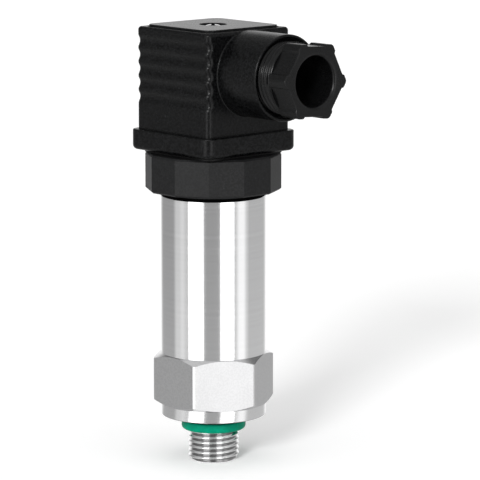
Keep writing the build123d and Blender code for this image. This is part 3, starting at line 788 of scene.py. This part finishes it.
class MakeFixingScrew(bpy.types.Operator):
    """Fixing screw with the thread of its tip cut"""

    bl_idname = "transmitter.fixing_screw"
    bl_label = "Fixing screw"

    def execute(self, context):
        sizes = threads()
        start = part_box("fixing_screw")[0].z
        neck = start + sizes.screw_length
        seam = start + sizes.screw_length + 0.05 * MM

        def limit(z):
            return min(SCREW_CREST, SCREW_CREST - sizes.screw_chamfer + z)

        thread = threaded_tube(
            SCREW_CREST, sizes.screw_pitch, sizes.screw_depth, radians(30), sizes.screw_length,
            SCREW_STEPS, limit, arc_points=3,
        )
        close_end(thread, 0.0, 0.0)
        bm = merged_solid("fixing_screw")
        cut(bm, (0, 0, seam), (0, 0, 1))
        append(bm, thread, Matrix.Translation((0, 0, start)))
        bridge(bm, rims(bm, 2, seam, Vector()), rims(bm, 2, neck, Vector()))
        steel = turned_metal("screw_steel_turned", finishes().zinc_steel, 0.2, 0.12)
        add_piece(bm, "threaded_fixing_screw", "fixing_screw", [steel])
        return {"FINISHED"}


class FinishMouldings(bpy.types.Operator):
    """Moulded plastic on the plug housing, the socket base and the terminal block"""

    bl_idname = "transmitter.mouldings"
    bl_label = "Mouldings"

    def execute(self, context):
        colours = finishes()
        rough = colours.plastic_roughness
        plug = moulded_plastic("plug_plastic", colours.plug_black, rough, 0.155)
        # the socket base's neck just above the tube is painted dead black, as painted shade under
        # its ring
        neck_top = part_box("body_tube")[1].z + PAINTED_NECK_SHADE
        base = moulded_plastic(
            "base_plastic", colours.base_black, 0.45, 0.2, contrast=0.3, painted_shade_below=neck_top
        )
        block = moulded_plastic("block_plastic", colours.block_grey, 0.5, 0.4, contrast=0.15)
        dress(["plug_housing"], plug)
        dress(["socket_base"], base)
        dress(["terminal_block"], block)
        catch_gleam([solids["plug_housing"], solids["socket_base"]])
        return {"FINISHED"}


class FinishMetalwork(bpy.types.Operator):
    """Turned, stamped and plated finishes on the metal pieces"""

    bl_idname = "transmitter.metalwork"
    bl_label = "Metalwork"

    def execute(self, context):
        colours = finishes()
        tube = turned_metal("tube_steel_fine", colours.tube_steel, colours.tube_roughness, 0.11)
        dress(["body_tube"], tube)
        capsule = turned_metal("capsule_steel", colours.turned_steel, 0.2, 0.1)
        dress(["sensor_capsule", "retaining_ring"], capsule)
        washer = turned_metal("washer_steel_flat", colours.zinc_steel, 0.3, 0.2, "gland")
        dress(["gland_washer"], washer)
        dress(["terminal_screws"], plain_metal("terminal_screw_steel", colours.zinc_steel, 0.3))
        dress(["threaded_insert"], turned_metal("insert_brass", colours.brass, 0.28, 0.12))
        poles = ("earth", "line_1", "line_2", "line_3")
        brass = plain_metal("contact_brass", colours.brass, 0.32)
        dress([f"{pole}_contact" for pole in poles], brass)
        dress([f"{pole}_blade" for pole in poles], plain_metal("blade_tin", colours.tin, 0.28))
        dress(["sensor_pins"], plain_metal("pin_gold", (0.88, 0.67, 0.28), 0.2))
        dress(["filter_capacitor"], plain_metal("can_aluminium", (0.82, 0.82, 0.83), 0.3))
        return {"FINISHED"}


class FinishSeals(bpy.types.Operator):
    """Rubber on the ring seal, the O-rings, the gasket, the washer and the grommet"""

    bl_idname = "transmitter.seals"
    bl_label = "Seals"

    def execute(self, context):
        colours = finishes()
        dress(["port_seal"], rubber("seal_rubber", colours.seal_green, 0.42, 0.06))
        black = rubber("black_rubber_smooth", colours.rubber_black, 0.5)
        seals = ["sensor_seal", "base_seal", "profile_gasket", "screw_washer", "gland_grommet"]
        dress(seals, black)
        return {"FINISHED"}


class FinishElectronics(bpy.types.Operator):
    """Finishes on the board and what stands on it"""

    bl_idname = "transmitter.electronics"
    bl_label = "Electronics"

    def execute(self, context):
        dress(["signal_board"], board_finish("board_mask"))
        dress(["signal_chip"], coated("chip_body", (0.03, 0.03, 0.032), 0.5, 0.3))
        dress(["zero_trimmer", "span_trimmer"], coated("trimmer_body", (0.03, 0.12, 0.42), 0.35))
        dress(["sensor_header", "output_header"], coated("header_body", (0.72, 0.70, 0.63), 0.4))
        dress(["sensor_leads", "output_leads"], coated("lead_insulation", (0.42, 0.03, 0.03), 0.4))
        return {"FINISHED"}


# Studio

# Upright panels as (from, to, soft edge, brightness), in degrees round from where the camera
# stands, with those to its right above 0
PANELS = (
    (-53.5, -23.5, 3.5, 2.2),
    (18.0, 44.5, 3.0, 2.2),
    (-88.0, -64.0, 10.0, 0.34),
    (-74.0, -69.0, 5.0, 0.12),
    (60.0, 69.0, 14.0, 0.66),
)
ROOM_LEFT = 0.36             # brightness of the room at the left and behind the camera
ROOM_RIGHT = 0.53
BACKDROP = 1.1
BACKDROP_FROM = 142.0        # degrees from the camera's direction
BOUNCE = 0.14                # light from the table, below the level of the panels
UNDERSIDE = 0.3              # brightness below the panels
LOW_PANELS = 0.45            # share of the panels' light that goes on below them
LOW_SIDES = 0.1              # more light below, at the sides and behind
CEILING_BACK = 0.2           # brightness overhead, behind the object
OVERHEAD = 0.85              # brightness of the softbox straight above
FLOOR_GAP = 0.02 * MM        # the floor lies this far below the thread's end
WHITE = (1.0, 1.0, 1.0, 1.0)


class MakeStudio(bpy.types.Operator):
    """Pale floor, white room with soft panels, a key light, and the camera"""

    bl_idname = "transmitter.studio"
    bl_label = "Studio"

    def execute(self, context):
        settings = studio()
        scene = context.scene
        scene.view_settings.view_transform = "Standard"
        self.add_floor(scene, settings)
        self.light_room(scene, settings)
        self.add_key(scene, settings)
        self.add_camera(scene, settings)
        return {"FINISHED"}

    def add_floor(self, scene, settings):
        bm = bmesh.new()
        bmesh.ops.create_grid(bm, x_segments=1, y_segments=1, size=settings.floor_width / 2)
        bmesh.ops.translate(bm, vec=(0, 0, -FLOOR_GAP), verts=bm.verts)
        mesh = bpy.data.meshes.new("floor")
        bm.to_mesh(mesh)
        bm.free()
        floor = bpy.data.objects.new("floor", mesh)
        scene.collection.objects.link(floor)
        floor.visible_glossy = False
        shader = new_shader("floor_white")
        plain, paper = (
            shader.node("ShaderNodeBsdfDiffuse", None, {"Color": (white, white, white, 1.0)})
            for white in (settings.floor_white, settings.paper)
        )
        seen = shader.node("ShaderNodeLightPath")["Is Camera Ray"]
        mesh.materials.append(shader.end(shader.blend(seen, plain["BSDF"], paper["BSDF"])))

    def light_room(self, scene, settings):
        world = bpy.data.worlds.new("white_room")
        scene.world = world
        shader = Shader(world)
        direction = shader.node("ShaderNodeTexCoord")["Generated"]
        parts = shader.node("ShaderNodeSeparateXYZ", None, {0: direction})
        x, y, z = parts["X"], parts["Y"], parts["Z"]
        aside = x * cos(settings.azimuth) + y * sin(settings.azimuth)
        towards = x * sin(settings.azimuth) - y * cos(settings.azimuth)
        turn = aside.math("ARCTAN2", aside, towards) * (180 / pi)
        panels = 0.0
        for start, end, soft, brightness in PANELS:
            panels = panels + brightness * turn.between(start, end, soft)
        level = ROOM_LEFT + (ROOM_RIGHT - ROOM_LEFT) * turn.rises(0.0, 80.0)
        level = level + panels * z.between(-0.29, 0.26, 0.1)
        level = level + BOUNCE * (1 - z.rises(-0.23, -0.14))
        level = level + LOW_PANELS * panels * (1 - z.rises(-0.45, -0.3))
        behind = abs(turn).rises(BACKDROP_FROM, BACKDROP_FROM + 25)
        level = level + behind * (BACKDROP - level)
        below = UNDERSIDE + LOW_PANELS * panels + LOW_SIDES * abs(turn).rises(48.0, 75.0)
        level = below + z.rises(-0.8, -0.5) * (level - below)
        above = CEILING_BACK + (settings.ceiling - CEILING_BACK) * towards.rises(-0.5, 0.5)
        level = level + z.rises(0.22, 0.5) * (above - level)
        level = level + z.rises(0.72, 0.86) * (OVERHEAD - level)
        room, white = (
            shader.node("ShaderNodeBackground", None, {"Color": WHITE, "Strength": strength})
            for strength in (level, 1.0)
        )
        seen = shader.node("ShaderNodeLightPath")["Is Camera Ray"]
        mixed = shader.blend(seen, room["Background"], white["Background"])
        shader.node("ShaderNodeOutputWorld", None, {"Surface": mixed})

    def add_key(self, scene, settings):
        """The key light as two lamps: one for all surfaces, and one that only mouldings mirror."""
        turn = settings.azimuth - settings.key_side
        out = Vector((sin(turn), -cos(turn), 0)) * cos(settings.key_height)
        out.z = sin(settings.key_height)
        for name, share in (("key_light", 1.0), ("key_gleam", settings.gleam_level)):
            light = bpy.data.lights.new(name, "SUN")
            light.energy = settings.key_level * pi * share
            light.angle = settings.key_spread
            lamp = bpy.data.objects.new(name, light)
            lamp.location = out
            lamp.rotation_euler = out.to_track_quat("Z", "Y").to_euler()
            lamp.visible_glossy = name == "key_gleam"
            lamp.visible_diffuse = name == "key_light"
            scene.collection.objects.link(lamp)
        lamp.light_linking.receiver_collection = bpy.data.collections.new(GLEAMING)

    def add_camera(self, scene, settings):
        data = bpy.data.cameras.new("camera")
        data.lens = settings.focal
        data.sensor_width = 36.0
        data.clip_start = 0.05
        data.clip_end = 20.0
        camera = bpy.data.objects.new("camera", data)
        azimuth = settings.azimuth
        back = Vector((sin(azimuth), -cos(azimuth), 0))
        right = Vector((cos(azimuth), sin(azimuth), 0))
        camera.location = back * settings.distance + right * settings.aside
        camera.location.z = settings.height
        aim = -back * cos(settings.tilt) - Vector((0, 0, sin(settings.tilt)))
        camera.rotation_mode = "QUATERNION"
        camera.rotation_quaternion = aim.to_track_quat("-Z", "Y")
        scene.collection.objects.link(camera)
        scene.camera = camera


# Panel and registration


class TransmitterPanel(bpy.types.Panel):
    """Sizes, finishes and steps of the transmitter"""

    bl_idname = "VIEW3D_PT_transmitter"
    bl_label = "Pressure transmitter"
    bl_space_type = "VIEW_3D"
    bl_region_type = "UI"
    bl_category = "Transmitter"

    def draw(self, context):
        for step in STEPS:
            self.layout.operator(step.bl_idname)
        for group in (threads(), finishes(), studio()):
            box = self.layout.box()
            for name in group.bl_rna.properties.keys():
                if name not in {"rna_type", "name"}:
                    box.prop(group, name)


STEPS = (
    MakeStudio,
    MakeProcessConnection,
    MakeGlandNut,
    MakeFixingScrew,
    FinishMouldings,
    FinishMetalwork,
    FinishSeals,
    FinishElectronics,
)
GROUPS = {
    "transmitter_threads": ThreadSizes,
    "transmitter_finishes": Finishes,
    "transmitter_studio": Studio,
}


def register():
    for group in (*GROUPS.values(), *STEPS, TransmitterPanel):
        bpy.utils.register_class(group)
    for name, group in GROUPS.items():
        setattr(bpy.types.Scene, name, PointerProperty(type=group))


def unregister():
    for name in GROUPS:
        delattr(bpy.types.Scene, name)
    for group in reversed((*GROUPS.values(), *STEPS, TransmitterPanel)):
        bpy.utils.unregister_class(group)


def main():
    register()
    bpy.ops.transmitter.studio()
    bpy.ops.transmitter.process_connection()
    bpy.ops.transmitter.gland_nut()
    bpy.ops.transmitter.fixing_screw()
    bpy.ops.transmitter.mouldings()
    bpy.ops.transmitter.metalwork()
    bpy.ops.transmitter.seals()
    bpy.ops.transmitter.electronics()


if __name__ == "__main__":
    main()
